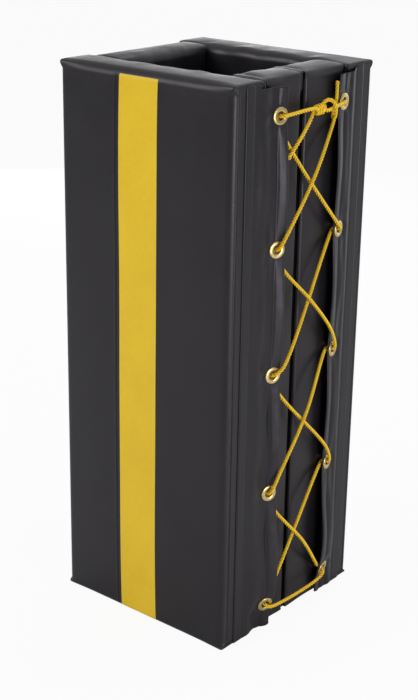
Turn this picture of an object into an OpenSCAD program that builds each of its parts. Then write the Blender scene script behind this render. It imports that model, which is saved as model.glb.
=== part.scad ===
// Column protector pad: foam pads in sewn vinyl covers, folded round a square column and laced shut.
// Millimetres, +Z up. X runs along the front pad, the laced side is at +X and the front at -Y.
// The origin is the middle of the column space, on the floor.

/* [Column space] */
// Clear width of the column space, between the side pads
space_w = 217; // [200:1:235]
// Clear depth of the column space, between the front and back pads
space_d = 210; // [200:1:230]

/* [Pads] */
// Height of every pad
height = 914; // [900:1:930]
// Thickness of the front and back pads
pad_t = 71; // [66:1:76]
// Thickness of the side pads
side_t = 59; // [54:1:64]
// Width of the right pad that lies next to the front pad
right_front_w = 84; // [76:1:92]
// How far the side pads lie inside the ends of the front and back pads
side_inset = 6; // [5:0.5:7]
// Thickness of the vinyl covers
vinyl_t = 0.8; // [0.6:0.1:1.2]
// Radius of the long edges at the top of a pad
top_r = 15; // [11:0.5:18]
// Radius of the long edges at the foot of a pad
foot_r = 6; // [5.5:0.5:8]
// Radius of the sewn edges at the ends of a pad
end_r = 4; // [3:0.5:5]
// How far an outer face swells in its middle
crown = 2.5; // [1:0.5:3.5]
// How far a face towards the column swells in its middle
inner_crown = 1.5; // [0.5:0.5:2]

/* [Strips between pads] */
// Thickness of the soft strip between the front pad and the first right pad
hinge_strip_t = 13; // [10:0.5:16]
// Thickness of the soft strip between the two right pads
middle_strip_t = 11; // [8:0.5:14]
// How far the middle strip lies inside the side pads' outer face
middle_strip_inset = 6; // [3:0.5:9]
// Thickness of a hinge web
web_t = 1.2; // [1:0.1:2]
// How deep a hinge web runs into its joint
web_depth = 32; // [20:1:45]

/* [Stripe] */
// Width of the yellow stripe
stripe_w = 77; // [40:1:120]
// Middle of the stripe, from the middle of the front pad
stripe_x = -8; // [-60:1:60]
// Thickness of the stripe's vinyl
stripe_t = 0.6; // [0.4:0.1:1]
// Height at which the stripe starts
stripe_foot = 3; // [2:0.5:20]
// How far below the top the stripe ends
stripe_drop = 8; // [6:0.5:40]

/* [Lacing flaps] */
// Thickness of a flap's vinyl
flap_t = 1.2; // [1:0.1:1.6]
// Thickness of the folded hem along a flap's free edge
hem_t = 2.2; // [2:0.1:2.4]
// First stitched row, from the outer corner of the pad
row_1 = 31; // [25:1:35]
// Second stitched row, where the flap leaves the pad
row_2 = 49; // [44:1:54]
// Free edge of the front flap, from the front face
front_edge = 115; // [108:1:122]
// Free edge of the back flap, from the back face
back_edge = 102; // [98:1:108]
// Lean of the front flap's hem, in degrees
front_lean = 20; // [10:1:24]
// Lean of the back flap's hem, in degrees
back_lean = 9; // [6:1:14]
// How far the front flap's loose belly stands out
front_belly = 3; // [2:0.5:6]
// How far the back flap's loose belly stands out
back_belly = 4; // [2:0.5:6]
// How far a hem bows out between two grommets
hem_bow = 3; // [0:0.5:4]
// How far the foot of the front flap is tucked in
foot_tuck = 7.5; // [3:0.5:8]
// How far the flaps bulge above the tucked-in foot
foot_swell = 6; // [0:0.5:8]
// Height of a flap's lower edge
flap_foot = 5; // [4:1:16]
// How far a flap's upper edge lies below the top
flap_drop = 12; // [8:1:20]

/* [Grommets] */
// Radius of the grommet's hole
hole_r = 6.35; // [5.5:0.05:7]
// Radius of the grommet's flange
flange_r = 13.6; // [12.5:0.1:14]
// Height of the flange's dome
flange_h = 1.9; // [1.4:0.1:2.4]
// Wall of the grommet's barrel
barrel_wall = 0.7; // [0.5:0.1:0.9]
// Thickness of the washer behind the flap
washer_t = 0.6; // [0.5:0.1:0.7]
// Radius of the washer
washer_r = 12.8; // [11.5:0.1:13.5]
// Height of the lowest grommet
first_grommet = 47; // [42:1:52]
// How far the highest grommet lies below the top
last_grommet_drop = 55; // [50:1:60]
// Distance of the grommets from the flap's free edge
grommet_inset = 14.5; // [14:0.1:16]

/* [Lace] */
// Diameter of the lace
lace_d = 5.5; // [4:0.1:6]

/* [Hidden] */
// Room between two pieces that lie against each other
seat = 0.3;
front_w = space_w + 2 * (side_t + side_inset);
half_w = front_w / 2;
half_d = space_d / 2 + pad_t;
side_face = half_w - side_inset;
top_z = height - flap_drop;
grommets = 5;
grommet_pitch = (height - last_grommet_drop - first_grommet) / (grommets - 1);
barrel_r = hole_r + barrel_wall;
hem_w = 2 * grommet_inset;
lip_r = barrel_r + 2.2;
lip_h = 1;

// Places along the right side, from the front pad's inner face to the back pad's
web_joint = web_t + 2 * seat;
hinge_strip_y = -space_d / 2 + seat;
right_front_y = hinge_strip_y + hinge_strip_t + seat;
middle_strip_y = right_front_y + right_front_w + seat;
right_back_y = middle_strip_y + middle_strip_t + seat;
right_back_w = space_d / 2 - web_joint - right_back_y;
left_w = space_d - 2 * web_joint;

// Steps in a rounded edge and points on a swelling face: fine outside, coarse inside
OUTSIDE = [3, 3];
INSIDE = [2, 1];
lace_sides = 8;

BLACK = [0.13, 0.13, 0.14];
DARK = [0.09, 0.09, 0.10];
FOAM = [0.45, 0.47, 0.50];
YELLOW = [0.86, 0.70, 0.12];
ROPE = [0.95, 0.76, 0.12];
BRASS = [0.80, 0.70, 0.42];

// The two flaps: [free edge, lean of the hem, belly, how far the hem starts off the pad, tuck, side]
FRONT = [front_edge, front_lean, front_belly, 2, foot_tuck, 1];
BACK = [back_edge, back_lean, back_belly, 3, 0.75 * foot_tuck, -1];

// The lace's passes, down from the knot and up again: [flap, grommet, 1 for front to back or -1 for
// back to front, height over the hole at the free edge in front, the same behind, and how far the
// strand that leads to this pass is lifted by the one that it lies on]
passes = [
    [FRONT, 4, 1, 1, -34, 0],
    [BACK, 3, 1, 14, -6, 0],
    [FRONT, 2, 1, 12, -31, 0],
    [BACK, 1, 1, 32, -3, 0],
    [FRONT, 0, -1, -6, 40, 0],
    [BACK, 0, 1, -13, 12, 0],
    [FRONT, 1, -1, 34, -32, 13.5],
    [BACK, 2, -1, 34, -1, 7.5],
    [FRONT, 3, -1, 27, -30, 8.5],
    [BACK, 4, -1, -1, -22, 6.5]
];
// Where the lace lies at a hole: [out of the flap, off the hole's axis], from the front to the back
through = [[5.4, 5.5], [1.8, 1.2], [-8, 0.8]];
// How far out of the flap's face it lies at the free edge, in front and behind
edge_out = [4.9, -7];
// The knot's middle: [out of the pad, past the middle of the two flaps, above the top grommets]
knot_at = [15, 5.5, -1];
// Half of the knot: one strand from its standing end to its tail, wound round the other strand, as
// [along, up, out]. The other half is the same one, turned round
knot_half = [
    [-11, 2.1, 3.7],
    [-8.2, -4.8, 2.4],
    [-5.5, -4.9, -2.2],
    [-2.8, 1.8, -3.7],
    [0, 6, 0],
    [2.8, 1.8, 3.7],
    [5.5, -4.9, 2.2],
    [8.2, -4.8, -2.4],
    [10, 2.1, -3.9]
];
// The two tails, from the knot to their cut ends. Each ends at a flap, so that end is placed from the
// flap's top grommet. The second one falls over in an arch before it goes up behind the back flap
tail_1 = [[-14, -9.5, -3.5], [-41, -31, 1.5]];
tail_1_end = [[19, -65, -4.5]];
tail_2 = [[12, 8.5, -1.5], [17, 12.5, 3], [24, 10, 7.5], [28.5, 1, 9.5], [33.5, -13, 6], [42, -18, -4]];
tail_2_end = [[-24, -9, -10.5], [-17, 6, -11.2], [-16, 33, -11.5]];

// A closed skin over rings of points, each ring with as many points as the next
module loft(rings) {
    n = len(rings[0]);
    count = len(rings);
    polyhedron(
        points = [for (ring = rings) each ring],
        faces = concat(
            [[for (i = [0:n - 1]) i]],
            [[for (i = [n - 1:-1:0]) (count - 1) * n + i]],
            [for (j = [0:count - 2], i = [0:n - 1])
                let (a = j * n + i, b = j * n + (i + 1) % n, c = a + n, d = b + n)
                each [[b, a, c], [b, c, d]]]
        )
    );
}

function arc(centre, r, from, to, steps) =
    [for (i = [0:steps]) let (a = from + (to - from) * i / steps) centre + r * [cos(a), sin(a)]];

// Height of a low arch over the unit length, 1 in its middle
function arch(f) = 4 * f * (1 - f);

function smooth(t) = let (c = max(0, min(1, t))) c * c * (3 - 2 * c);

// Points across a swelling face, from one level to the other. A face that stays flat needs none
function across(depth, from, to, swell, share, m) = swell == 0 ? [] :
    [for (i = [1:m]) let (f = i / (m + 1)) [depth + swell * share * arch(f), from + f * (to - from)]];

// Section of a pad as [depth, height]: depth 0 faces the column, and cut draws the outline in
function section(thick, radius, cut, swell, share, steps) =
    let (n = steps[0], m = steps[1], foot = radius[0], top = radius[1])
    concat(
        arc([foot, foot], foot - cut, 180, 270, n),
        arc([thick - foot, foot], foot - cut, 270, 360, n),
        across(thick - cut, foot, height - top, swell[0], share, m),
        arc([thick - top, height - top], top - cut, 0, 90, n),
        arc([top, height - top], top - cut, 90, 180, n),
        across(cut, height - top, foot, -swell[1], share, m)
    );

// A pad of some length, with round sewn ends. cut shrinks it evenly, for a lining or a filling
module pad(length, thick, cut, steps, radius = [foot_r, top_r], ends = end_r, swell = [crown, inner_crown]) {
    n = steps[0];
    m = steps[1];
    still = 0.1;
    flank = [for (i = [0:n]) let (a = 90 * i / n)
        [ends - (ends - cut) * cos(a), ends - (ends - cut) * sin(a)]];
    stations = concat(
        [for (s = flank) [s[0], s[1], still]],
        [for (i = [1:m]) let (f = i / (m + 1))
            [ends + f * (length - 2 * ends), cut, still + (1 - still) * arch(f)]],
        [for (i = [n:-1:0]) [length - flank[i][0], flank[i][1], still]]
    );
    loft([for (s = stations)
        [for (p = section(thick, radius, s[1], swell, s[2], steps)) [s[0], p[0], p[1]]]]);
}

module cover(length, thick, swell) {
    difference() {
        pad(length, thick, 0, OUTSIDE, swell = swell);
        pad(length, thick, vinyl_t, INSIDE, swell = swell);
    }
}

module filling(length, thick, swell) pad(length, thick, vinyl_t + seat, INSIDE, swell = swell);

module at_front() translate([-half_w, -space_d / 2, 0]) mirror([0, 1, 0]) children();
module at_back() translate([-half_w, space_d / 2, 0]) children();
module at_left() translate([-space_w / 2, -left_w / 2, 0]) mirror([1, 0, 0]) mirror([1, -1, 0]) children();
module at_right(y) translate([space_w / 2, y, 0]) mirror([1, -1, 0]) children();

OUTER_ONLY = [crown, 0];
BOTH = [crown / 2, inner_crown];

module front_foam() color(FOAM) at_front() filling(front_w, pad_t, OUTER_ONLY);
module front_cover() color(BLACK) at_front() cover(front_w, pad_t, OUTER_ONLY);
module back_foam() color(FOAM) at_back() filling(front_w, pad_t, OUTER_ONLY);
module back_cover() color(BLACK) at_back() cover(front_w, pad_t, OUTER_ONLY);
module left_foam() color(FOAM) at_left() filling(left_w, side_t, BOTH);
module left_cover() color(BLACK) at_left() cover(left_w, side_t, BOTH);
module right_front_foam() color(FOAM) at_right(right_front_y) filling(right_front_w, side_t, BOTH);
module right_front_cover() color(BLACK) at_right(right_front_y) cover(right_front_w, side_t, BOTH);
module right_back_foam() color(FOAM) at_right(right_back_y) filling(right_back_w, side_t, BOTH);
module right_back_cover() color(BLACK) at_right(right_back_y) cover(right_back_w, side_t, BOTH);

// The stripe follows the front cover's face, up to the start of its rounded top edge
module front_stripe() color(YELLOW) intersection() {
    at_front() difference() {
        pad(front_w, pad_t, -stripe_t, OUTSIDE, swell = OUTER_ONLY);
        pad(front_w, pad_t, 0, OUTSIDE, swell = OUTER_ONLY);
    }
    translate([stripe_x - stripe_w / 2, -half_d - pad_t / 2, stripe_foot])
        cube([stripe_w, pad_t, height - stripe_drop - stripe_foot]);
}

// Soft strips that fill the joints of the right side
module strip(y, thick, depth) {
    edge = thick / 2 - 1;
    translate([space_w / 2, y, 0]) mirror([1, -1, 0])
        pad(thick, depth, 0, [2, 0], radius = [2.5, edge], ends = 2, swell = [0, 0]);
}

module hinge_strip() color(BLACK) strip(hinge_strip_y, hinge_strip_t, side_t);
module middle_strip() color(BLACK) strip(middle_strip_y, middle_strip_t, side_t - middle_strip_inset);

// A flat web sewn into the joint of two pads
module web() {
    foot = foot_r + 2;
    translate([side_face - web_depth, -space_d / 2 + seat, foot])
        cube([web_depth, web_t, height - top_r - foot]);
}

module left_front_web() color(DARK) mirror([1, 0, 0]) web();
module left_back_web() color(DARK) rotate([0, 0, 180]) web();
module right_back_web() color(DARK) mirror([0, 1, 0]) web();

// The height, or that of a grommet whose hem it belongs to, so that a hem leans evenly round a grommet
function steady(z) = let (c = first_grommet + round((z - first_grommet) / grommet_pitch) * grommet_pitch)
    abs(z - c) < grommet_inset + 0.1 ? c : z;

// How far a flap stands out from the pad's end, at v along it and height z
function rise(flap, v, z) =
    let (
        hem = flap[0] - hem_w,
        t = (v - row_2) / (hem - row_2),
        low = (z - flap_foot) / 150,
        lean = tan(flap[1]) * (1 - 0.3 * smooth((steady(z) - height * 0.75) / (height * 0.2))),
        belly = t > 0 && t < 1 ? flap[2] * pow(sin(180 * t), 2) : 0,
        bow = hem_bow * (1 - cos(360 * (z - first_grommet) / grommet_pitch)) / 2,
        swell = foot_swell * smooth(2.5 * low - 0.25) * (1 - smooth(1.67 * low - 1)),
        tuck = flap[4] * (1 - smooth(2.2 * low)) - swell
    )
    seat + flap_t + smooth(t) * (flap[3] + bow - tuck) + belly + max(0, v - hem) * lean;

function flap_point(flap, v, z) = [half_w + rise(flap, v, z), -half_d + v, z];

// Heights of a flap's rings: the hem is flat round each grommet and free between two
flap_levels = concat(
    [flap_foot],
    [for (k = [0:grommets - 1]) let (z = first_grommet + k * grommet_pitch) each concat(
        [z - grommet_inset, z + grommet_inset],
        k < grommets - 1 ? [for (s = [0.3, 0.5, 0.7]) z + s * grommet_pitch] : []
    )],
    [top_z]
);

// A flap lies flat between its stitched rows, bellies out, and ends in a hem folded to the inside
module flap_sheet(flap) {
    hem = flap[0] - hem_w;
    loose = [for (i = [0:7]) row_2 + (hem - row_2) * i / 7];
    face = concat([row_1], loose, [flap[0]]);
    back = [for (i = [0:7]) loose[i] - (i == 7 ? 0.6 : 0)];
    loft([for (z = flap_levels) concat(
        [for (v = reversed(concat([row_1], back))) flap_point(flap, v, z) - [flap_t, 0, 0]],
        [for (v = face) flap_point(flap, v, z)],
        [for (v = [flap[0], hem]) flap_point(flap, v, z) - [hem_t, 0, 0]]
    )]);
}

// A grommet's place: [the middle of its hole on the flap's face, the way out of the flap]
function grommet_place(flap, k) =
    let (
        v = flap[0] - grommet_inset,
        r = grommet_inset,
        z = first_grommet + k * grommet_pitch,
        low = rise(flap, v, z - r),
        high = rise(flap, v, z + r),
        slope = (rise(flap, flap[0], z) - rise(flap, flap[0] - hem_w, z)) / hem_w
    )
    [[half_w + (low + high) / 2, -half_d + v, z], unit([1, -slope, -(high - low) / (2 * r)])];

// Puts its children at a grommet, with Z along the hole and out of the flap
module at_grommet(flap, k) {
    place = grommet_place(flap, k);
    out = place[1];
    translate(place[0]) rotate([0, acos(out[2]), atan2(out[1], out[0])]) children();
}

module flap_with_holes(flap) difference() {
    flap_sheet(flap);
    for (k = [0:grommets - 1])
        at_grommet(flap, k) cylinder(r = barrel_r + seat, h = 4 * hem_t, center = true, $fn = 24);
}

module front_flap() color(BLACK) flap_with_holes(FRONT);
module back_flap() color(BLACK) mirror([0, 1, 0]) flap_with_holes(BACK);

// The eyelet's dome lies on the flap, and its barrel is rolled over behind the washer
module eyelet() {
    back = hem_t + 2 * seat + washer_t;
    dome_r = (flange_r - hole_r) / 2;
    dome = [for (i = [0:8]) let (a = 180 * i / 8)
        [hole_r + dome_r + dome_r * cos(a), seat + flange_h * sin(a)]];
    lip = [for (i = [0:6]) let (a = 180 + 180 * i / 6)
        [(hole_r + lip_r) / 2 + (lip_r - hole_r) / 2 * cos(a), -back - seat + lip_h * sin(a)]];
    rotate_extrude($fn = 48)
        polygon(concat(dome, lip, [[barrel_r, -back - seat], [barrel_r, seat]]));
}

module washer() {
    face = hem_t + seat;
    inner = barrel_r + seat;
    rotate_extrude($fn = 48)
        translate([inner, -face - washer_t]) square([washer_r - inner, washer_t]);
}

module front_eyelet(k) color(BRASS) at_grommet(FRONT, k - 1) eyelet();
module front_washer(k) color(BRASS) at_grommet(FRONT, k - 1) washer();
module back_eyelet(k) color(BRASS) mirror([0, 1, 0]) at_grommet(BACK, k - 1) eyelet();
module back_washer(k) color(BRASS) mirror([0, 1, 0]) at_grommet(BACK, k - 1) washer();

function unit(v) = v / norm(v);
function reversed(list) = [for (i = [len(list) - 1:-1:0]) list[i]];

// A point near a grommet, from its distance out of the flap and its place across and up
function near(flap, k, out, place) =
    let (
        g = grommet_place(flap, k),
        across = unit([0, 1, 0] - g[1][1] * g[1]),
        up = cross(g[1], across),
        p = g[0] + out * g[1] + place[0] * across + place[1] * up
    )
    [p[0], flap[5] * p[1], p[2]];

function at_edge(flap, k, up, out) =
    let (p = flap_point(flap, flap[0], first_grommet + k * grommet_pitch + up))
    [p[0] + out, flap[5] * p[1], p[2]];

// One pass through a grommet, in the order in which the lace makes it
function pass(row) =
    let (
        flap = row[0],
        k = row[1],
        front = unit([grommet_inset, row[3]]),
        back = unit([grommet_inset, row[4]]),
        points = concat(
            [at_edge(flap, k, row[3], edge_out[0])],
            [for (p = through) near(flap, k, p[0], p[1] * (p[0] > 0 ? front : back))],
            [at_edge(flap, k, row[4], edge_out[1])]
        )
    )
    row[2] > 0 ? points : reversed(points);

function last(list) = list[len(list) - 1];

// The lifted middle of the strand that leads to a pass, where it lies on another
function lifted(i) = passes[i][5] == 0 ? [] :
    [(last(pass(passes[i - 1])) + pass(passes[i])[0]) / 2 + [passes[i][5], 0, 0]];

// A point of the knot and its tails, from the knot's middle or from another place along the gap
top_holes = [for (flap = [FRONT, BACK]) near(flap, grommets - 1, 0, [0, 0])];
knot_y = (top_holes[0][1] + top_holes[1][1]) / 2 + knot_at[1];
function at_knot(p, y = knot_y) =
    [half_w + knot_at[0] + p[2], y + p[0], top_holes[0][2] + knot_at[2] + p[1]];

// The whole lace, from one cut end through the knot and every grommet to the other cut end
lace_route = concat(
    [for (p = reversed(tail_2_end)) at_knot(p, top_holes[1][1])],
    [for (p = reversed(tail_2)) at_knot(p)],
    [for (p = reversed(knot_half)) at_knot(p)],
    [for (i = [0:len(passes) - 1]) each concat(lifted(i), pass(passes[i]))],
    [for (p = knot_half) at_knot([-p[0], -p[1], p[2]])],
    [for (p = tail_1) at_knot(p)],
    [for (p = tail_1_end) at_knot(p, top_holes[0][1])]
);

// Directions and side vectors along the lace, each side vector carried on from the one before
function step(points, i) = let (j = max(0, min(len(points) - 2, i))) unit(points[j + 1] - points[j]);
function course(points, i) = unit(step(points, i - 1) + step(points, i));
function carried(points, i = 0, side = [0, 0, 1]) =
    let (d = course(points, i), s = unit(side - (side * d) * d))
    i == len(points) - 1 ? [s] : concat([s], carried(points, i + 1, s));

module lace() color(ROPE) {
    sides = carried(lace_route);
    loft([for (i = [0:len(lace_route) - 1])
        let (d = course(lace_route, i), up = cross(sides[i], d))
        [for (j = [0:lace_sides - 1]) let (a = -360 * j / lace_sides)
            lace_route[i] + lace_d / 2 * (cos(a) * sides[i] + sin(a) * up)]]);
}

front_foam();
front_cover();
front_stripe();
back_foam();
back_cover();
left_foam();
left_cover();
right_front_foam();
right_front_cover();
right_back_foam();
right_back_cover();
hinge_strip();
middle_strip();
left_front_web();
left_back_web();
right_back_web();
front_flap();
back_flap();
for (k = [1:grommets]) {
    front_eyelet(k);
    front_washer(k);
    back_eyelet(k);
    back_washer(k);
}
lace();
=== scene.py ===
"""Column protector pad: the dressed model, in metres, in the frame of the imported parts."""
import math

import bpy
import numpy as np
from mathutils import Matrix, Vector


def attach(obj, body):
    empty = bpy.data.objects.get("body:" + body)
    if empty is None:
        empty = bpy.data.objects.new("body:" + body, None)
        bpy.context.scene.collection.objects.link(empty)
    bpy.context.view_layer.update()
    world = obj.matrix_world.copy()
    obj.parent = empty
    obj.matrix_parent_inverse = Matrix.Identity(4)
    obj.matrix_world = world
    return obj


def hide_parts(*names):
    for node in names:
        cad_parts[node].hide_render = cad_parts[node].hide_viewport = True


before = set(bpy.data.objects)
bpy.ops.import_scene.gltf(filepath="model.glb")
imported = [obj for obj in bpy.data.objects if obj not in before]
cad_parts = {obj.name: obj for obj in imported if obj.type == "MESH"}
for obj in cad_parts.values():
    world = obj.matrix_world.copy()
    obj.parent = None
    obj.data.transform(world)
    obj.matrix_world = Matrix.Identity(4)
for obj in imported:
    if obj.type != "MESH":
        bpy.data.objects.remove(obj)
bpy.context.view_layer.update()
MM = 0.001

# Sizes of the part's source, in millimetres
SPACE_W, SPACE_D, HEIGHT = 217.0, 210.0, 914.0
PAD_T, SIDE_T, SIDE_INSET = 71.0, 59.0, 6.0
HALF_W = SPACE_W / 2 + SIDE_T + SIDE_INSET
HALF_D = SPACE_D / 2 + PAD_T
TOP_R, LEFT_TOP_R, FOOT_R = 15.0, 17.0, 6.0
SEAT, WEB_T, WEB_DEPTH, FLAP_T, HEM_T = 0.3, 1.2, 32.0, 1.2, 2.2
ROW_1, ROW_2, HEM_W = 31.0, 49.0, 29.0
FLAP_FOOT, FLAP_TOP = 5.0, 902.0
HOLE_R, FLANGE_R, FLANGE_H = 6.35, 13.6, 1.9
FIRST, PITCH, GROMMETS, INSET = 47.0, 203.0, 5, 14.5


# Small helpers

def smooth(t):
    t = np.clip(t, 0, 1)
    return t * t * (3 - 2 * t)


def bell(x, width):
    return np.exp(-((x / width) ** 2))


def noise(points, size, seed=0):
    """Smooth noise from -1 to 1 with lumps of about the given size, one size or one for each axis."""
    q = np.asarray(points, float) / size + 1000.0
    cell = np.floor(q).astype(np.int64)
    f = q - cell
    f = f * f * f * (f * (6 * f - 15) + 10)
    total = np.zeros(len(q))
    for corner in range(8):
        step = np.array([corner & 1, corner >> 1 & 1, corner >> 2 & 1])
        c = cell + step
        h = c[:, 0] * 73856093 ^ c[:, 1] * 19349663 ^ c[:, 2] * 83492791 ^ (seed * 977 + 13) * 2654435
        h = ((h ^ h >> 13) * 1274126177) & 0xFFFFFFFF
        h = ((h ^ h >> 15) * 2246822519) & 0xFFFFFFFF
        value = (h >> 8 & 0xFFFF) / 32767.5 - 1
        total += value * np.prod(np.where(step == 1, f, 1 - f), axis=1)
    return total


def unit(rows):
    return rows / np.linalg.norm(rows, axis=1)[:, None]


def spaced(start, end, step):
    """Places from start to end, both included, in even steps of about the given size."""
    return np.linspace(start, end, max(2, int(round((end - start) / step)) + 1))


def with_marks(values, marks, clear=0.7):
    """The values with the marks added, and none of them closer to a mark than clear."""
    kept = [v for v in values if all(abs(v - m) > clear for m in marks)]
    return np.array(sorted(kept + list(marks)))


def new_object(name, data):
    obj = bpy.data.objects.new(name, data)
    bpy.context.scene.collection.objects.link(obj)
    return obj


def make_object(name, verts, faces, material, node=None, smooth_faces=True, wear_and_painted_light=None, uv=None):
    """A mesh piece from points in millimetres. It rides on the one body of the object.

    The per-point attribute, from 0 to 1, lightens the vinyl where it is rubbed and where a highlight is
    painted on the flaps' hems, and darkens the rope's valleys as painted shade.
    """
    mesh = bpy.data.meshes.new(name)
    mesh.from_pydata((np.asarray(verts) * MM).tolist(), [], [list(map(int, f)) for f in faces])
    mesh.materials.append(material)
    mesh.shade_smooth() if smooth_faces else mesh.shade_flat()
    if wear_and_painted_light is not None:
        data = mesh.attributes.new("wear_and_painted_light", "FLOAT", "POINT").data
        data.foreach_set("value", np.clip(wear_and_painted_light, 0, 1).astype(np.float32))
    if uv is not None:
        layer = mesh.uv_layers.new(name="along")
        loops = np.empty(len(mesh.loops), np.int32)
        mesh.loops.foreach_get("vertex_index", loops)
        layer.data.foreach_set("uv", np.asarray(uv, np.float32)[loops].ravel())
    mesh.update()
    obj = new_object(name, mesh)
    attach(obj, "root")
    if node:
        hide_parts(node)
    return obj


def grid_faces(rows, columns, close=False):
    """Quads over rows of points, each row with the given number of columns."""
    faces = []
    for j in range(rows - 1):
        for i in range(columns if close else columns - 1):
            a, b = j * columns + i, j * columns + (i + 1) % columns
            faces.append((a, b, b + columns, a + columns))
    return faces


# Materials

def plug(tree, node, inputs):
    """Sets the node's inputs, each to a value or to what another node's socket gives."""
    for key, value in inputs.items():
        if isinstance(value, bpy.types.NodeSocket):
            tree.links.new(value, node.inputs[key])
        else:
            node.inputs[key].default_value = value


def add(tree, kind, inputs, **settings):
    made = tree.nodes.new(kind)
    for key, value in settings.items():
        setattr(made, key, value)
    plug(tree, made, inputs)
    return made


def noise_node(tree, place, scale, detail, **more):
    inputs = {"Vector": place, "Scale": scale, "Detail": detail, **more}
    return add(tree, "ShaderNodeTexNoise", inputs).outputs["Fac"]


def maths(tree, operation, *values):
    return add(tree, "ShaderNodeMath", dict(enumerate(values)), operation=operation).outputs[0]


def ramp(tree, factor, *stops):
    """Runs from one colour to another between two stops, each a place and its colour."""
    made = add(tree, "ShaderNodeValToRGB", {"Fac": factor})
    for element, (place, colour) in zip(made.color_ramp.elements, stops):
        element.position = place
        element.color = (*colour, 1)
    return made.outputs["Color"]


def blended(tree, share, first, second):
    return add(tree, "ShaderNodeMix", {"Factor": share, "A": first, "B": (*second, 1)},
               data_type="RGBA").outputs["Result"]


# Reads the per-point attribute: rubbed vinyl, painted highlights on the flaps' hems, and painted shade in
# the rope's valleys
def wear_and_painted_light_factor(tree):
    return add(tree, "ShaderNodeAttribute", {}, attribute_name="wear_and_painted_light").outputs["Fac"]


def bump(tree, height, strength, distance, **more):
    inputs = {"Height": height, "Strength": strength, "Distance": distance, **more}
    return add(tree, "ShaderNodeBump", inputs).outputs["Normal"]


def grey(v):
    return (v, v, v)


def new_material(name):
    """A material, its tree, its shader, and the place on the object in metres."""
    mat = bpy.data.materials.new(name)
    mat.use_nodes = True
    tree = mat.node_tree
    place = add(tree, "ShaderNodeTexCoord", {}).outputs["Object"]
    return mat, tree, tree.nodes["Principled BSDF"], place


def vinyl_material(name, dark, light, roughness, specular, grain=1.0, wear_and_highlight_colour=None):
    """Coated fabric: a fine pebbled grain over faint threads, soft waves, and a lighter colour on rubbed
    edges and on painted highlights.
    """
    mat, tree, shader, place = new_material(name)
    fine = noise_node(tree, place, 160.0, 3.0, Roughness=0.6)
    pebble = add(tree, "ShaderNodeTexVoronoi", {"Vector": place, "Scale": 780.0, "Randomness": 1.0},
                 feature="SMOOTH_F1").outputs["Distance"]
    thread = noise_node(tree, place, 420.0, 2.0)
    mixed = maths(tree, "MULTIPLY", noise_node(tree, place, 9.0, 4.0, Roughness=0.6), 0.7)
    mixed = maths(tree, "MULTIPLY_ADD", fine, 0.3, mixed)
    colour = ramp(tree, mixed, (0.38, dark), (0.62, light))
    # the second colour goes on rubbed edges and, on the flaps' hems, as a painted highlight
    if wear_and_highlight_colour:
        colour = blended(tree, maths(tree, "MULTIPLY", wear_and_painted_light_factor(tree), fine), colour, wear_and_highlight_colour)
    rough = ramp(tree, mixed, (0.35, grey(roughness - 0.05)), (0.65, grey(roughness + 0.06)))
    grained = bump(tree, maths(tree, "MULTIPLY_ADD", thread, 0.5, pebble), 0.22 * grain, 0.00025)
    waved = bump(tree, noise_node(tree, place, 17.0, 1.0), 0.10 * grain, 0.004, Normal=grained)
    plug(tree, shader, {"Base Color": colour, "Roughness": rough, "Specular IOR Level": specular,
                        "Normal": waved})
    return mat


def brass_material():
    mat, tree, shader, place = new_material("pale_brass")
    cloud = noise_node(tree, place, 90.0, 5.0)
    scratch = noise_node(tree, place, 900.0, 3.0, Distortion=2.0)
    colour = ramp(tree, cloud, (0.35, (0.62, 0.47, 0.19)), (0.65, (0.74, 0.60, 0.29)))
    plug(tree, shader, {"Base Color": colour, "Metallic": 1.0,
                        "Roughness": ramp(tree, cloud, (0.3, grey(0.17)), (0.7, grey(0.34))),
                        "Normal": bump(tree, scratch, 0.12, 0.0001)})
    return mat


def rope_material(name, low, high, roughness):
    """Twisted plastic fibres: fine lines along each strand, and painted shade, darker and more orange, in
    the valleys between strands.
    """
    mat, tree, shader, place = new_material(name)
    uv = add(tree, "ShaderNodeUVMap", {}, uv_map="along").outputs["UV"]
    lines = add(tree, "ShaderNodeMapping", {"Vector": uv, "Scale": (60.0, 9.0, 1.0),
                                            "Rotation": (0, 0, 0.5)}).outputs["Vector"]
    fibre = noise_node(tree, lines, 3.0, 3.0)
    half = maths(tree, "MULTIPLY", maths(tree, "ADD", fibre, noise_node(tree, place, 70.0, 3.0)), 0.5)
    # painted shade for the valleys between strands: the low colour darkened, more in blue than in red
    painted_valley_shade = [c * s for c, s in zip(low, (0.80, 0.70, 0.60))]
    colour = blended(tree, wear_and_painted_light_factor(tree), ramp(tree, half, (0.36, low), (0.60, high)), painted_valley_shade)
    plug(tree, shader, {"Base Color": colour, "Roughness": roughness, "Specular IOR Level": 0.28,
                        "Normal": bump(tree, fibre, 0.5, 0.0003)})
    return mat


def foam_material():
    mat, tree, shader, place = new_material("open_foam")
    cell = add(tree, "ShaderNodeTexVoronoi", {"Vector": place, "Scale": 700.0}).outputs["Distance"]
    colour = ramp(tree, cell, (0.0, (0.10, 0.11, 0.12)), (0.6, (0.24, 0.25, 0.27)))
    plug(tree, shader, {"Base Color": colour, "Roughness": 0.95, "Normal": bump(tree, cell, 0.5, 0.0006)})
    return mat


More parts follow.
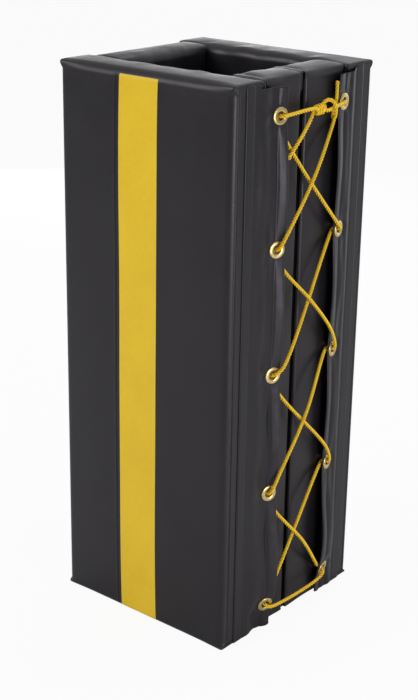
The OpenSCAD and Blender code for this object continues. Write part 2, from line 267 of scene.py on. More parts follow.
# The black vinyl's pale lilac second colour is used for rubbed edges and for the painted highlight along
# the flaps' hems.
BLACK = vinyl_material("black_vinyl", (0.0085, 0.0074, 0.0090), (0.0125, 0.0112, 0.0130), 0.36, 0.40,
                       wear_and_highlight_colour=(0.046, 0.043, 0.048))
BLACK.node_tree.nodes["Principled BSDF"].inputs["Specular Tint"].default_value = (1.0, 0.965, 1.03, 1)
DARK = vinyl_material("web_vinyl", (0.006, 0.006, 0.0065), (0.010, 0.010, 0.011), 0.55, 0.35)
YELLOW = vinyl_material("yellow_vinyl", (0.82, 0.54, 0.018), (0.88, 0.595, 0.024), 0.42, 0.28,
                        grain=0.8, wear_and_highlight_colour=(0.80, 0.60, 0.12))
THREAD = vinyl_material("black_thread", (0.016, 0.015, 0.017), (0.026, 0.025, 0.028), 0.50, 0.40,
                        grain=0.3)
BRASS = brass_material()
ROPE = rope_material("yellow_rope", (1.0, 0.58, 0.014), (1.0, 0.75, 0.04), 0.42)
MELTED = rope_material("melted_rope_end", (0.72, 0.42, 0.03), (0.90, 0.60, 0.08), 0.25)
FOAM = foam_material()


# Pads: a ring of points round the section, carried along the pad, with sewn ends

END_TIGHT, FOAM_GAP = 0.3, 4.0
LARGE_ROLL, SMALL_ROLL = 12.5, 4.5


class Pad:
    """One pad in its own frame: s along it, d out from the column, h up."""

    def __init__(self, length, thick, place, seed, radius=(FOOT_R, TOP_R), ends=7.0, crown=(2.5, 0.0),
                 dome=1.6, notch=0.9, ears=(1.0, 1.0), step=6.0, marks=(), top_waves=1.0,
                 end_swell=(1.2, 0.0), square=0.7, sink=0.0):
        self.length, self.thick, self.place, self.radius, self.ends = length, thick, place, radius, ends
        self.seed, self.crown, self.dome, self.notch, self.ears = seed, crown, dome, notch, ears
        self.step, self.marks, self.top_waves, self.end_swell = step, marks, top_waves, end_swell
        self.square, self.sink = square, sink

    def column(self, levels):
        """The outer half of the section from its foot to its top: [depth, height, normal]."""
        def arc(r, level, angles):
            return [(self.thick - r + r * math.cos(a), level + r * math.sin(a), math.cos(a), math.sin(a))
                    for a in np.radians(angles)]

        foot, top = self.radius
        rows = arc(foot, foot, np.linspace(-90, 0, levels[0] + 1))
        rows += [(self.thick, h, 1, 0) for h in spaced(foot, HEIGHT - top, levels[1])[1:-1]]
        return np.array(rows + arc(top, HEIGHT - top, np.linspace(0, 90, levels[2] + 1)))

    def outline(self, levels, across):
        """The whole section, up the outer side and down the inner, and how long one side is."""
        outer = self.column(levels)
        inner = outer.copy()
        inner[:, 0] = self.thick - inner[:, 0]
        inner[:, 2] *= -1
        foot, top = self.radius
        f = np.linspace(0, 1, across + 1)[1:-1]
        zero = f * 0
        lid = np.stack([self.thick - top - f * (self.thick - 2 * top), zero + HEIGHT, zero, zero + 1], 1)
        sole = np.stack([foot + f * (self.thick - 2 * foot), zero, zero, zero - 1], 1)
        return np.concatenate([outer, lid, inner[::-1], sole]), len(outer)

    def stations(self):
        """Places along the pad: [distance, how far the ring is drawn in]."""
        r = self.ends
        flank = []
        for a in (0, 4, 8, 12, 17, 24, 33, 44, 56, 68, 79, 90):
            groove = self.notch * float(bell(a - 8, 5))
            turn = math.radians(a)
            flank.append((r - (r - groove) * math.cos(turn), r - (r - groove) * math.sin(turn)))
        middle = with_marks(spaced(r, self.length - r, self.step)[1:-1], self.marks)
        far_flank = [(self.length - s, c) for s, c in flank[::-1]]
        return np.array(flank + [(s, 0.0) for s in middle] + far_flank)

    def dressed(self, s, d, h, nd, nh):
        """Moves points of the plain form to where the filled cover has them."""
        foot, top = self.radius
        along = np.clip(s / self.length, 0, 1)
        up = np.clip((h - foot) / (HEIGHT - top - foot), 0, 1)
        body = (1 - np.abs(2 * along - 1) ** 3.2) * (1 - np.abs(2 * up - 1) ** 9)
        local = np.stack([s, d, h], 1)
        outward = np.maximum(nd, 0) * self.crown[0] * body + np.maximum(-nd, 0) * self.crown[1] * body
        outward += np.abs(nd) * 0.55 * noise(local, (70, 70, 190), self.seed) * body
        sunk = smooth((HEIGHT - 22 - h) / 30) * (1 + smooth((h - 250) / 350)) / 2
        outward -= np.maximum(nd, 0) * self.sink * sunk
        cross = np.clip(d / self.thick, 0, 1)
        lid = np.maximum(nh, 0)
        lid_body = (1 - np.abs(2 * along - 1) ** 8) * (1 - (2 * cross - 1) ** 2)
        outward += lid ** 2 * self.dome * lid_body
        # waves along the rolled top edges, stronger towards the column
        near_top = bell(h - HEIGHT, 26) * (1 - np.exp(-((np.minimum(s, self.length - s) / 16) ** 2)))
        inner = smooth((0.62 - cross) / 0.5)
        wave = noise(np.stack([s, d * 0.35, h * 0.25], 1), 30, self.seed + 3)
        wave += 0.4 * inner * noise(np.stack([s + d * 0.4, d * 0.3, h * 0.2], 1), 11, self.seed + 5)
        outward += near_top * (0.16 + 1.2 * inner) * self.top_waves * wave
        # puckers across the end seams
        to_end = np.minimum(s, self.length - s)
        girth = np.where(np.abs(nd) > np.abs(nh), h, d)
        pucker = noise(np.stack([girth, to_end * 0.1, nd * 4], 1), 7, self.seed + 7)
        outward += 0.28 * pucker * bell(to_end - 7, 11) * (0.35 + near_top + bell(h, 30))
        # the sewn corners stand up at the top of each end
        angle = np.arctan2(np.abs(nh), np.abs(nd))
        square = (np.cos(angle) ** 7 + np.sin(angle) ** 7) ** (-1 / 7) - 1
        outward += np.where(nh > 0, top, foot) * square * self.square * bell(to_end, 34)
        corner = bell(np.degrees(angle) - 45, 22) * (nh > 0) * (h > HEIGHT - top - 12)
        shift = np.zeros(len(s))
        for side, ear in enumerate(self.ears):
            away = s if side == 0 else self.length - s
            tip = corner * bell(away, 6) * ear
            outward += 0.8 * tip
            shift += (-1 if side == 0 else 1) * 1.1 * tip
        return s + shift, d + nd * outward, np.maximum(h + nh * outward, 0)

    def seam(self, s, h, nd):
        """How far a seam lifts the face. A plain pad has none."""
        return np.zeros(len(s))

    def points(self, ring, stations):
        s = np.repeat(stations[:, 0], len(ring))
        c = np.repeat(stations[:, 1], len(ring))
        d, h, nd, nh = (np.tile(ring[:, k], len(stations)) for k in range(4))
        # the roll is broad at the upright edges and tight along the top and the foot
        tight = 1 - (1 - END_TIGHT) * smooth(np.abs(nh) * 1.3)
        s = np.where(s <= self.ends, s * tight, s)
        s = np.where(self.length - s <= self.ends, self.length - (self.length - s) * tight, s)
        c = c * tight
        out = np.stack(self.dressed(s, d - nd * c, h - nh * c, nd, nh), 1)
        out[:, 1] += self.seam(s, h, nd)
        wear_and_painted_light = bell(np.minimum(s, self.length - s) - 0.8, 1.4) * 0.7
        wear_and_painted_light = np.maximum(wear_and_painted_light, 0.3 * bell(np.abs(np.abs(nd) - 0.7), 0.35) * (h > HEIGHT - 24))
        wear_and_painted_light = np.maximum(wear_and_painted_light, 0.6 * (h < 9) * (nh < -0.05))
        return out, wear_and_painted_light

    def caps(self, points, ring_length, column_length, across, stations):
        """Fills both ends with rows that run through the pad's thickness."""
        extra, faces = [], []
        total = len(points)
        lid = list(range(column_length, column_length + across - 1))
        sole = list(range(2 * column_length + across - 1, ring_length))
        for end in (0, 1):
            base = 0 if end == 0 else (len(stations) - 1) * ring_length
            rows = [[column_length * 2 + across - 2] + sole + [0]]
            first_inner = column_length + across - 1
            for i in range(1, column_length - 1):
                inner_index = first_inner + (column_length - 1 - i)
                a, b = points[base + inner_index], points[base + i]
                f = np.linspace(0, 1, across + 1)[1:-1, None]
                inside = a + f * (b - a)
                h = inside[:, 2]
                level = (4 * f[:, 0] * (1 - f[:, 0])) ** 0.55
                tall = np.clip((h - 4) / (HEIGHT - 8), 0, 1)
                swell = self.end_swell[end] * level * (1 - np.abs(2 * tall - 1) ** 14)
                ripple = noise(np.stack([inside[:, 1], h * 0.3, h * 0], 1), 14, self.seed + 11 + end)
                swell = swell + min(1, self.end_swell[end]) * (0.35 * ripple) * level
                inside[:, 0] += swell * (-1 if end == 0 else 1)
                ids = list(range(total + len(extra), total + len(extra) + len(inside)))
                extra += list(inside)
                rows.append([inner_index] + ids + [i])
            rows.append([first_inner] + lid[::-1] + [column_length - 1])
            for j in range(len(rows) - 1):
                for i in range(across):
                    ids = (rows[j][i], rows[j][i + 1], rows[j + 1][i + 1], rows[j + 1][i])
                    ids = [k if k >= total else k + base for k in ids]
                    faces.append(ids if end == 0 else ids[::-1])
        return np.array(extra), faces

    def build(self, name, material, node, levels=(6, 6.0, 14), across=14):
        ring, column_length = self.outline(levels, across)
        stations = self.stations()
        points, wear_and_painted_light = self.points(ring, stations)
        faces = grid_faces(len(stations), len(ring), close=True)
        extra, more = self.caps(points, len(ring), column_length, across, stations)
        wear_and_painted_light = np.concatenate([wear_and_painted_light, np.full(len(extra), 0.1)])
        points = np.concatenate([points, extra])
        return make_object(name, self.place(points), faces + more, material, node, wear_and_painted_light=wear_and_painted_light)

    def block(self, name, node):
        """The foam block inside, with its corners cut off."""
        gap = FOAM_GAP
        back, top = self.thick - gap, HEIGHT - gap - 1
        c = min(self.radius[1] * 0.6, 9)
        k = c * 0.3
        ring = [(gap + k, gap), (back - k, gap), (back, gap + k), (back, top - c), (back - k, top - k),
                (back - c, top), (gap + c, top), (gap + k, top - k), (gap, top - c), (gap, gap + k)]
        verts = [(s, d, h) for s in (gap, self.length - gap) for d, h in ring]
        n = len(ring)
        faces = [(i, (i + 1) % n, n + (i + 1) % n, n + i) for i in range(n)]
        faces += [tuple(range(n))[::-1], tuple(range(n, 2 * n))]
        obj = make_object(name, self.place(np.array(verts)), faces, FOAM, node, smooth_faces=False)


def at_front(p):
    return np.stack([-HALF_W + p[:, 0], -SPACE_D / 2 - p[:, 1], p[:, 2]], 1)


def at_back(p):
    return np.stack([HALF_W - p[:, 0], SPACE_D / 2 + p[:, 1], p[:, 2]], 1)


LEFT_W = SPACE_D - 2 * (WEB_T + 2 * SEAT)


def at_left(p):
    return np.stack([-SPACE_W / 2 - p[:, 1], LEFT_W / 2 - p[:, 0], p[:, 2]], 1)


def at_right(y):
    return lambda p: np.stack([SPACE_W / 2 + p[:, 1], y + p[:, 0], p[:, 2]], 1)


HINGE_T, RIGHT_FRONT_W, MIDDLE_T, MIDDLE_IN = 13.0, 84.0, 11.0, 4.0
HINGE_Y = -SPACE_D / 2 + SEAT
RIGHT_FRONT_Y = HINGE_Y + HINGE_T + SEAT
MIDDLE_Y = RIGHT_FRONT_Y + RIGHT_FRONT_W + SEAT
RIGHT_BACK_Y = MIDDLE_Y + MIDDLE_T + SEAT
RIGHT_BACK_W = SPACE_D / 2 - (WEB_T + 2 * SEAT) - RIGHT_BACK_Y
STRIPE_X, STRIPE_W, SEAM_X = -8.0, 77.0, -54.0
SEAM_S = HALF_W + SEAM_X


class FrontPad(Pad):
    """The front pad has one more seam, a felled one to the left of the stripe."""

    def seam(self, s, h, nd):
        x = s - SEAM_S
        groove = -0.75 * bell(x - 0.9, 0.8) + 0.45 * bell(x + 1.3, 1.5)
        return groove * np.maximum(nd, 0) ** 2 * smooth((908 - h) / 4)


SEAM_MARKS = [SEAM_S + x for x in (-3.2, -2.2, -1.4, -0.7, 0, 0.5, 0.9, 1.3, 1.9, 2.8)]
SIDE = {"crown": (1.25, 1.5), "ears": (0.3, 0.3), "end_swell": (0.0, 0.0)}
RIGHT = {"dome": 3.0, "ends": SMALL_ROLL, **SIDE}
front_pad = FrontPad(2 * HALF_W, PAD_T, at_front, seed=10, ears=(1.0, 0.45), ends=LARGE_ROLL,
                     end_swell=(1.4, 0.0), marks=SEAM_MARKS)
back_pad = Pad(2 * HALF_W, PAD_T, at_back, seed=40, ears=(0.5, 1.0), ends=LARGE_ROLL,
               end_swell=(0.0, 1.4), top_waves=1.5)
left_pad = Pad(LEFT_W, SIDE_T, at_left, seed=70, top_waves=1.3, radius=(FOOT_R, LEFT_TOP_R), **SIDE)
right_front_pad = Pad(RIGHT_FRONT_W, SIDE_T, at_right(RIGHT_FRONT_Y), seed=100, **RIGHT)
right_back_pad = Pad(RIGHT_BACK_W, SIDE_T, at_right(RIGHT_BACK_Y), seed=130, **RIGHT)

for name, pad in (("front", front_pad), ("back", back_pad), ("left", left_pad),
                  ("right_front", right_front_pad), ("right_back", right_back_pad)):
    cover = pad.build(name + "_pad_cover", BLACK, name + "_cover")
    pad.block(name + "_foam_block", name + "_foam")


def strip(name, node, y, thick, depth, seed, sink=0.0):
    """A soft strip between two pads, with a round top and no seams."""
    made = Pad(thick, depth, at_right(y), radius=(2.5, thick / 2 - 1), ends=thick * 0.38, seed=seed,
               square=0.0, crown=(0.5, 0.3), dome=1.2, notch=0.0, ears=(0.0, 0.0), step=2.0,
               end_swell=(0.0, 0.0), sink=sink)
    cover = made.build(name, BLACK, node, levels=(4, 6.0, 7), across=10)


strip("hinge_strip_cover", "hinge_strip", HINGE_Y, HINGE_T, SIDE_T, 160)
strip("middle_strip_cover", "middle_strip", MIDDLE_Y, MIDDLE_T, SIDE_T - MIDDLE_IN, 170, sink=8.0)


def web(name, node, side_x, side_y):
    """A hinge web: a flat sheet of vinyl in a joint, a little slack."""
    foot, top, depth = FOOT_R + 2, HEIGHT - TOP_R, WEB_DEPTH
    xs, zs = spaced(0, depth, 4), spaced(foot, top, 8)
    x, z = (a.ravel() for a in np.meshgrid(xs, zs))
    slack = 0.22 * noise(np.stack([x, z, z * 0], 1), (14, 40, 40), 7)
    face = np.stack([side_x * (HALF_W - SIDE_INSET - depth + x),
                     side_y * (SPACE_D / 2 - SEAT - WEB_T / 2 + slack + 0.45), z], 1)
    back = face.copy()
    back[:, 1] -= side_y * 0.9
    n, columns = len(x), len(xs)
    faces = grid_faces(len(zs), columns)
    faces += [tuple(n + k for k in f[::-1]) for f in faces]
    edge = list(range(columns)) + [j * columns + columns - 1 for j in range(1, len(zs))]
    edge += [n - 1 - i for i in range(1, columns)] + [j * columns for j in range(len(zs) - 2, 0, -1)]
    faces += [(edge[(i + 1) % len(edge)], edge[i], n + edge[i], n + edge[(i + 1) % len(edge)])
              for i in range(len(edge))]
    obj = make_object(name, np.concatenate([face, back]), faces, DARK, node)


web("left_front_hinge_web", "left_front_web", -1, -1)
web("left_back_hinge_web", "left_back_web", -1, 1)
web("right_back_hinge_web", "right_back_web", 1, 1)


# The yellow stripe, laid on the front cover and following its swell and its rolled top edge

STRIPE_FOOT, STRIPE_TOP, STRIPE_LONG = 3.0, 906.0, 905.0


def stripe():
    ring = front_pad.column((6, 6.0, 14))
    ring = ring[(ring[:, 2] > 0.2) & (ring[:, 1] > STRIPE_FOOT + 1) & (ring[:, 1] < STRIPE_TOP - 2)]
    ends = []
    for h, radius, level in ((STRIPE_FOOT, FOOT_R, FOOT_R), (STRIPE_TOP, TOP_R, HEIGHT - TOP_R)):
        sine = (h - level) / radius
        cosine = math.sqrt(1 - sine ** 2)
        ends.append((PAD_T - radius + radius * cosine, h, cosine, sine))
    ring = np.concatenate([[ends[0]], ring, [ends[1]]])
    middle = HALF_W + STRIPE_X
    half = STRIPE_W / 2
    columns = [(-half, -0.05), (-half + 0.05, 0.45), (-half + 0.5, 0.62)]
    columns += [(x, 0.6) for x in spaced(-half + 3, half - 3, 5.9)]
    columns += [(half - 0.5, 0.62), (half - 0.05, 0.45), (half, -0.05)]
    rows, wear_and_painted_light = [], []
    last = len(ring) - 1
    lifts = [(0, -0.05), (0, 0.45)] + [(j, None) for j in range(len(ring))]
    lifts += [(last, 0.45), (last, -0.05)]
    for j, cap in lifts:
        d, h, nd, nh = ring[j]
        for x, lift in columns:
            out = lift if cap is None else min(lift, cap)
            rows.append((middle + x, d + nd * out, h + nh * out, nd, nh))
            wear_and_painted_light.append(0.5 * bell(abs(x) - half, 1.5) + 0.5 * bell(h - STRIPE_TOP, 3))
    points = front_pad.place(np.stack(front_pad.dressed(*np.array(rows).T), 1))
    faces = [f[::-1] for f in grid_faces(len(lifts), len(columns))]
    obj = make_object("yellow_stripe", points, faces, YELLOW, "front_stripe", wear_and_painted_light=wear_and_painted_light)


stripe()


# Lacing flaps, from the same curves as the part's source

HEM_BOW, FOOT_SWELL = 3.0, 6.0
STITCH_IN, SEWN_EDGE, EDGE_ROLL, HEM_UNDER = 17.0, 28.5, 1.6, 18.0
# Heights where the front flap's hem stands out more, with how much, and where it folds in
HEM_SHINE = ((190, 0.7), (390, 0.5))
HEM_FOLD = 352
HOLE_CUT, HOLE_RIM = 7.2, 8.4


def between_holes(z):
    """0 at the height of a grommet and 1 midway between two."""
    return (1 - np.cos(2 * math.pi * (z - FIRST) / PITCH)) / 2


class Flap:
    """A lacing flap: v from the outer corner of its pad to its free edge, z up, rise off the pad."""

    def __init__(self, edge, lean, belly, off, tuck, side, seed):
        self.edge, self.lean, self.belly, self.off = edge, lean, belly, off
        self.tuck, self.side, self.seed = tuck, side, seed
        self.hem, self.hem_line, self.holes = edge - HEM_W, edge - STITCH_IN, edge - INSET

    def rise(self, v, z):
        """How far the plain outer face stands off the ends of the pads."""
        v, z = np.asarray(v, float), np.asarray(z, float)
        centre = FIRST + np.round((z - FIRST) / PITCH) * PITCH
        steady = np.where(np.abs(z - centre) < INSET + 0.1, centre, z)
        t = (v - ROW_2) / (self.hem - ROW_2)
        low = (z - FLAP_FOOT) / 150
        high = smooth((steady - HEIGHT * 0.75) / (HEIGHT * 0.2))
        lean = math.tan(math.radians(self.lean)) * (1 - 0.3 * high) * np.maximum(0, v - self.hem)
        belly = self.belly * np.sin(math.pi * np.clip(t, 0, 1)) ** 2
        swell = FOOT_SWELL * smooth(2.5 * low - 0.25) * (1 - smooth(1.67 * low - 1))
        tuck = self.tuck * (1 - smooth(2.2 * low)) - swell
        off = self.off + HEM_BOW * between_holes(z) - tuck
        return SEAT + FLAP_T + smooth(t) * off + belly + lean

    def place(self, v, z, out=0.0):
        """Points of the plain face, in millimetres of the model."""
        return np.stack([HALF_W + self.rise(v, z) + out, self.side * (np.asarray(v) - HALF_D), z], 1)

    def grommet(self, k):
        """The middle of a grommet on the face, and its axis, with the back flap's turned to the front."""
        v, z = self.holes, FIRST + k * PITCH
        low, high = float(self.rise(v, z - INSET)), float(self.rise(v, z + INSET))
        slope = (float(self.rise(self.edge, z)) - float(self.rise(self.hem, z))) / HEM_W
        out = Vector((1, -slope, -(high - low) / (2 * INSET))).normalized()
        return Vector((HALF_W + (low + high) / 2, v - HALF_D, z)), out

    def near(self, k, out, place):
        """A point near a grommet: out along its axis, and two ways across."""
        at, axis = self.grommet(k)
        across = (Vector((0, 1, 0)) - axis.y * axis).normalized()
        p = at + out * axis + float(place[0]) * across + float(place[1]) * axis.cross(across)
        return np.array([p.x, self.side * p.y, p.z])

    def at_edge(self, k, up, out):
        return self.place([self.edge], [FIRST + k * PITCH + up], out)[0]


FRONT = Flap(edge=115.0, lean=20.0, belly=3.0, off=2.0, tuck=7.5, side=1, seed=200)
BACK = Flap(edge=102.0, lean=9.0, belly=4.0, off=3.0, tuck=5.625, side=-1, seed=240)


def hole_distance(flap, v, z):
    """From the middle of the nearest hole: how far in all, how far across, and how far up."""
    dz = z - FIRST - np.clip(np.round((z - FIRST) / PITCH), 0, GROMMETS - 1) * PITCH
    return np.hypot(v - flap.holes, dz), v - flap.holes, dz


def flap_folds(flap, v, z):
    """How far the real cloth lies off the plain face: folds, puckers and the rolled hem."""
    r, dv, dz = hole_distance(flap, v, z)
    calm = smooth((r - 14.5) / 16)
    loose = smooth((v - ROW_2 - 1.5) / 14)
    sewn = smooth((v - ROW_2 + 3) / 6)
    hem_line = flap.hem_line
    in_hem = np.clip((v - hem_line) / STITCH_IN, 0, 1)
    between = between_holes(z)
    points = np.stack([v, z, v * 0], 1)
    lean = np.stack([v + 0.25 * dz, z * 0.22, v * 0], 1)
    amount = loose * (0.35 + 0.65 * (flap.side < 0)) * noise(points, (24, 110, 50), flap.seed)
    amount += loose * 0.10 * noise(lean, 9, flap.seed + 2)
    # creases that run from a grommet towards the sewn rows
    angle = np.arctan2(dz, -dv)
    spokes = np.cos(7 * angle + 2.0 * noise(points, 60, flap.seed + 4))
    amount += 0.38 * spokes * smooth((1.7 - np.abs(angle)) / 0.6) * bell(r - 25, 12) * loose
    amount *= calm
    inside = np.clip((v - ROW_2) / (flap.hem - ROW_2), 0, 1)
    amount -= 0.3 * flap.belly * np.sin(math.pi * inside) ** 2
    lean_in = np.clip(v - flap.hem, 0, hem_line - flap.hem)
    facet = 0.25 * np.maximum(0, v - hem_line) - 0.21 * lean_in
    facet += 1.7 * smooth((v - hem_line + 0.4) / 1.8) - 1.5 * smooth((v - flap.edge + 5.5) / 5.5)
    bright = 1 + (flap.side > 0) * sum(share * bell(z - at, 60) for at, share in HEM_SHINE)
    wrinkles = noise(points, (9, 14, 9), flap.seed + 12)
    facet += (flap.side > 0) * 0.35 * wrinkles * smooth((v - hem_line) / 5)
    amount += facet * bright * between ** 0.7 * smooth((r - 13) / 20)
    if flap.side > 0:
        amount -= 0.07 * (z - HEM_FOLD) * bell(z - HEM_FOLD, 46) * smooth((v - flap.hem) / 12)
    amount += 0.5 * np.sin(math.pi * in_hem) * (1 - between) * smooth((r - 13) / 20)
    uneven = 1 + 0.4 * np.sin(z * 0.9) * noise(points, 11, flap.seed + 8)
    amount -= 0.85 * bell(v - hem_line, 1.3) * uneven * smooth((r - 13.8) / 3)
    if flap.side < 0:
        ridge = v - flap.edge + 25 + 3 * np.sin(z / 21) + 2 * np.sin(z / 47)
        amount += 1.6 * bell(ridge, 9) * smooth((r - 14) / 14)
    # puckers beside the two sewn rows
    for row, size in ((ROW_1, 0.06), (ROW_2, 0.28 if flap.side > 0 else 0.12)):
        ripple = noise(np.stack([z, v * 0.15, v * 0], 1), 6.5, flap.seed + int(row))
        amount += size * ripple * bell(np.abs(v - row) - 3.2, 3.2) * sewn ** 0.2 * (v > ROW_1 - 1)
        amount -= (0.04 if row == ROW_1 else 0.42 if flap.side > 0 else 0.2) * bell(v - row, 0.9)
    amount -= 0.5 * (1 - smooth((v - SEWN_EDGE) / 3.5))
    # wrinkles that fan out of the lower free corner, and waves along the top end
    foot = bell(z - FLAP_FOOT, 55) * loose
    fan = np.cos(np.arctan2(z - FLAP_FOOT + 25, flap.edge - v + 12) * 9 + flap.seed)
    amount += 0.2 * fan * foot * smooth((r - 14.5) / 14)
    top = bell(z - FLAP_TOP, 26) * loose
    amount += top * 0.6 * noise(points, 30, flap.seed + 9) * smooth((r - 14.5) / 12)
    return amount


def flap_face(flap, v, z, out=0.0):
    """Points of the real outer face, in millimetres of the model."""
    off = flap.rise(v, z) + flap_folds(flap, v, z)
    return np.stack([HALF_W + off + out, flap.side * (v - HALF_D), z], 1)


def build_flap(flap, name, node):
    """One flap of two faces, a round free edge, and walls at its other edges and round its holes."""
    hem_line = flap.hem_line
    marks = [ROW_1, ROW_2, hem_line, hem_line - 1.1, hem_line + 1.1, ROW_2 - 0.9, ROW_2 + 0.9]
    vs = with_marks(spaced(SEWN_EDGE, flap.edge - EDGE_ROLL, 2.4), marks, 0.8)
    zs = spaced(FLAP_FOOT, FLAP_TOP, 2.6)
    rows, columns = len(zs), len(vs)
    v, z = (a.ravel() for a in np.meshgrid(vs, zs))
    # the lower free corner is cut round, and the sewn margin reaches up to the cover's seam
    low = z - FLAP_FOOT
    z = z + 2.5 * bell(v - flap.edge, 5) * bell(low, 9) - 2.8 * bell(low, 12)
    z = z + 8.5 * (1 - smooth((v - 40) / 26)) * bell(z - FLAP_TOP, 14)
    r, dv, dz = hole_distance(flap, v, z)
    in_hem = smooth((v - hem_line + 2.2) / 3.5)
    between = between_holes(z)
    thick = FLAP_T + 1.1 * in_hem + 1.4 * in_hem * between * smooth((r - 14) / 20)
    thick = np.where(v > hem_line, thick, FLAP_T + (thick - FLAP_T) * in_hem)
    outer = flap_face(flap, v, z)
    inner = outer.copy()
    inner[:, 0] -= thick
    # faces round each hole are left out, and their rim is drawn to a circle under the flange
    faces, rim = [], set()
    for ids in grid_faces(rows, columns):
        if any(r[k] < HOLE_CUT for k in ids):
            rim.update(k for k in ids if r[k] >= HOLE_CUT)
        else:
            faces.append(ids)
    for k in rim:
        pull = HOLE_RIM / r[k] - 1
        for part in (outer, inner):
            part[k, 1] += flap.side * dv[k] * pull
            part[k, 2] += dz[k] * pull
    n = rows * columns
    verts = [outer, inner]
    both = faces + [tuple(n + k for k in f[::-1]) for f in faces]
    # the folded free edge
    arc = 5
    ids = np.arange(rows) * columns + columns - 1
    for q in range(1, arc):
        a = math.pi * q / arc
        ring = (outer[ids] + inner[ids]) / 2
        ring[:, 0] += (outer[ids, 0] - inner[ids, 0]) / 2 * math.cos(a)
        ring[:, 1] += flap.side * EDGE_ROLL * math.sin(a)
        verts.append(ring)
    chain = [ids] + [2 * n + q * rows + np.arange(rows) for q in range(arc - 1)] + [n + ids]
    for a, b in zip(chain[:-1], chain[1:]):
        both += [(a[j], b[j], b[j + 1], a[j + 1]) for j in range(rows - 1)]
    # the sewn edge, the two ends and the walls of the holes
    ids = np.arange(rows) * columns
    both += [(ids[j + 1], ids[j + 1] + n, ids[j] + n, ids[j]) for j in range(rows - 1)]
    for row, turn in ((0, 1), (rows - 1, -1)):
        ids = row * columns + np.arange(columns)
        for i in range(columns - 1):
            both.append((ids[i], ids[i] + n, ids[i + 1] + n, ids[i + 1])[::turn])
        both.append(tuple(c[row] for c in chain)[::turn])
    edges = dict.fromkeys(edge for f in faces for edge in zip(f, f[1:] + f[:1]))
    both += [(b, a, n + a, n + b) for a, b in edges if a in rim and b in rim and (b, a) not in edges]
    points = np.concatenate(verts)
    if flap.side < 0:
        both = [tuple(f)[::-1] for f in both]
    # Lighter colour on the flap: a painted highlight along the hem near the free edge, strongest between
    # the grommets, plus rubbing at the sewn edge and on the folded free edge.
    wear_and_painted_light = np.zeros(len(points))
    wear_and_painted_light[:n] = 0.55 * bell(v - (flap.edge - 6), 7) * (0.3 + 0.7 * between)
    wear_and_painted_light[:n] += 0.15 * bell(v - SEWN_EDGE, 1.5)
    wear_and_painted_light[2 * n:] = 0.7
    obj = make_object(name, points, both, BLACK, node, wear_and_painted_light=wear_and_painted_light)


STITCH_PITCH, STITCH_LENGTH = 4.2, 3.1


def stitches(name, path, out, height, width):
    """Stitches along a path of (start, end, point at t), with out the way off the cloth."""
    sides, rings = 5, ((-1.0, 0.1), (-0.7, 0.8), (0.0, 1.0), (0.7, 0.8), (1.0, 0.1))
    verts, faces = [], []
    t = path[0]
    while t + STITCH_PITCH < path[1]:
        a, b = path[2](t), path[2](t + STITCH_LENGTH)
        centre, along = (a + b) / 2, b - a
        half = np.linalg.norm(along) / 2
        along = along / (2 * half)
        normal = np.array(out, float)
        normal = normal - normal.dot(along) * along
        normal /= np.linalg.norm(normal)
        side = np.cross(along, normal)
        base = len(verts)
        for place, size in rings:
            for q in range(sides):
                angle = 2 * math.pi * q / sides
                verts.append(centre + along * half * place + size * (
                    normal * height * math.cos(angle) + side * width * math.sin(angle)))
        for j in range(len(rings) - 1):
            for q in range(sides):
                c, d = base + j * sides + q, base + j * sides + (q + 1) % sides
                faces.append((c, c + sides, d + sides, d))
        faces.append(tuple(base + q for q in range(sides)))
        faces.append(tuple(base + (len(rings) - 1) * sides + q for q in range(sides))[::-1])
        t += STITCH_PITCH
    make_object(name, verts, faces, THREAD)


def flap_row(flap, v):
    """Points along one row of stitches, a little off the cloth."""
    return lambda z: flap_face(flap, np.array([v]), np.array([z]), 0.15)[0]


for flap, name in ((FRONT, "front"), (BACK, "back")):
    build_flap(flap, name + "_lacing_flap", name + "_flap")
    for v, row in ((ROW_1, "outer"), (ROW_2, "inner"), (flap.hem_line, "hem")):
        stitches(f"{name}_flap_{row}_stitches", (FLAP_FOOT + 2, FLAP_TOP - 1, flap_row(flap, v)),
                 (1.0, -0.1 * flap.side, 0), 0.32, 0.36)


def seam_row(t):
    """Points along the front pad's seam."""
    ring = np.array([[PAD_T, t, 1.0, 0.0]])
    point, _ = front_pad.points(ring, np.array([[SEAM_S - 1.3, 0.0]]))
    point[:, 1] += 0.1
    return front_pad.place(point)[0]


stitches("front_seam_stitches", (10.0, 896.0, seam_row), (0, -1.0, 0), 0.28, 0.33)


# Grommets: a rolled eyelet in front, and its washer and curled barrel behind

def lathe(name, outline, at, axis, node, turn=72):
    """A brass piece: a closed outline of radius and height, turned about the axis."""
    axis = Vector(axis)
    frame_of = axis.to_track_quat("Z", "Y").to_matrix()
    verts = []
    for q in range(turn):
        a = 2 * math.pi * q / turn
        for r, h in outline:
            spun = frame_of @ Vector((r * math.cos(a), r * math.sin(a), h))
            verts.append(np.array(at) + np.array(spun))
    n = len(outline)
    faces = [(q * n + i, (q + 1) % turn * n + i, (q + 1) % turn * n + (i + 1) % n, q * n + (i + 1) % n)
             for q in range(turn) for i in range(n)]
    make_object(name, verts, faces, BRASS, node)


WASHER_R = 12.8


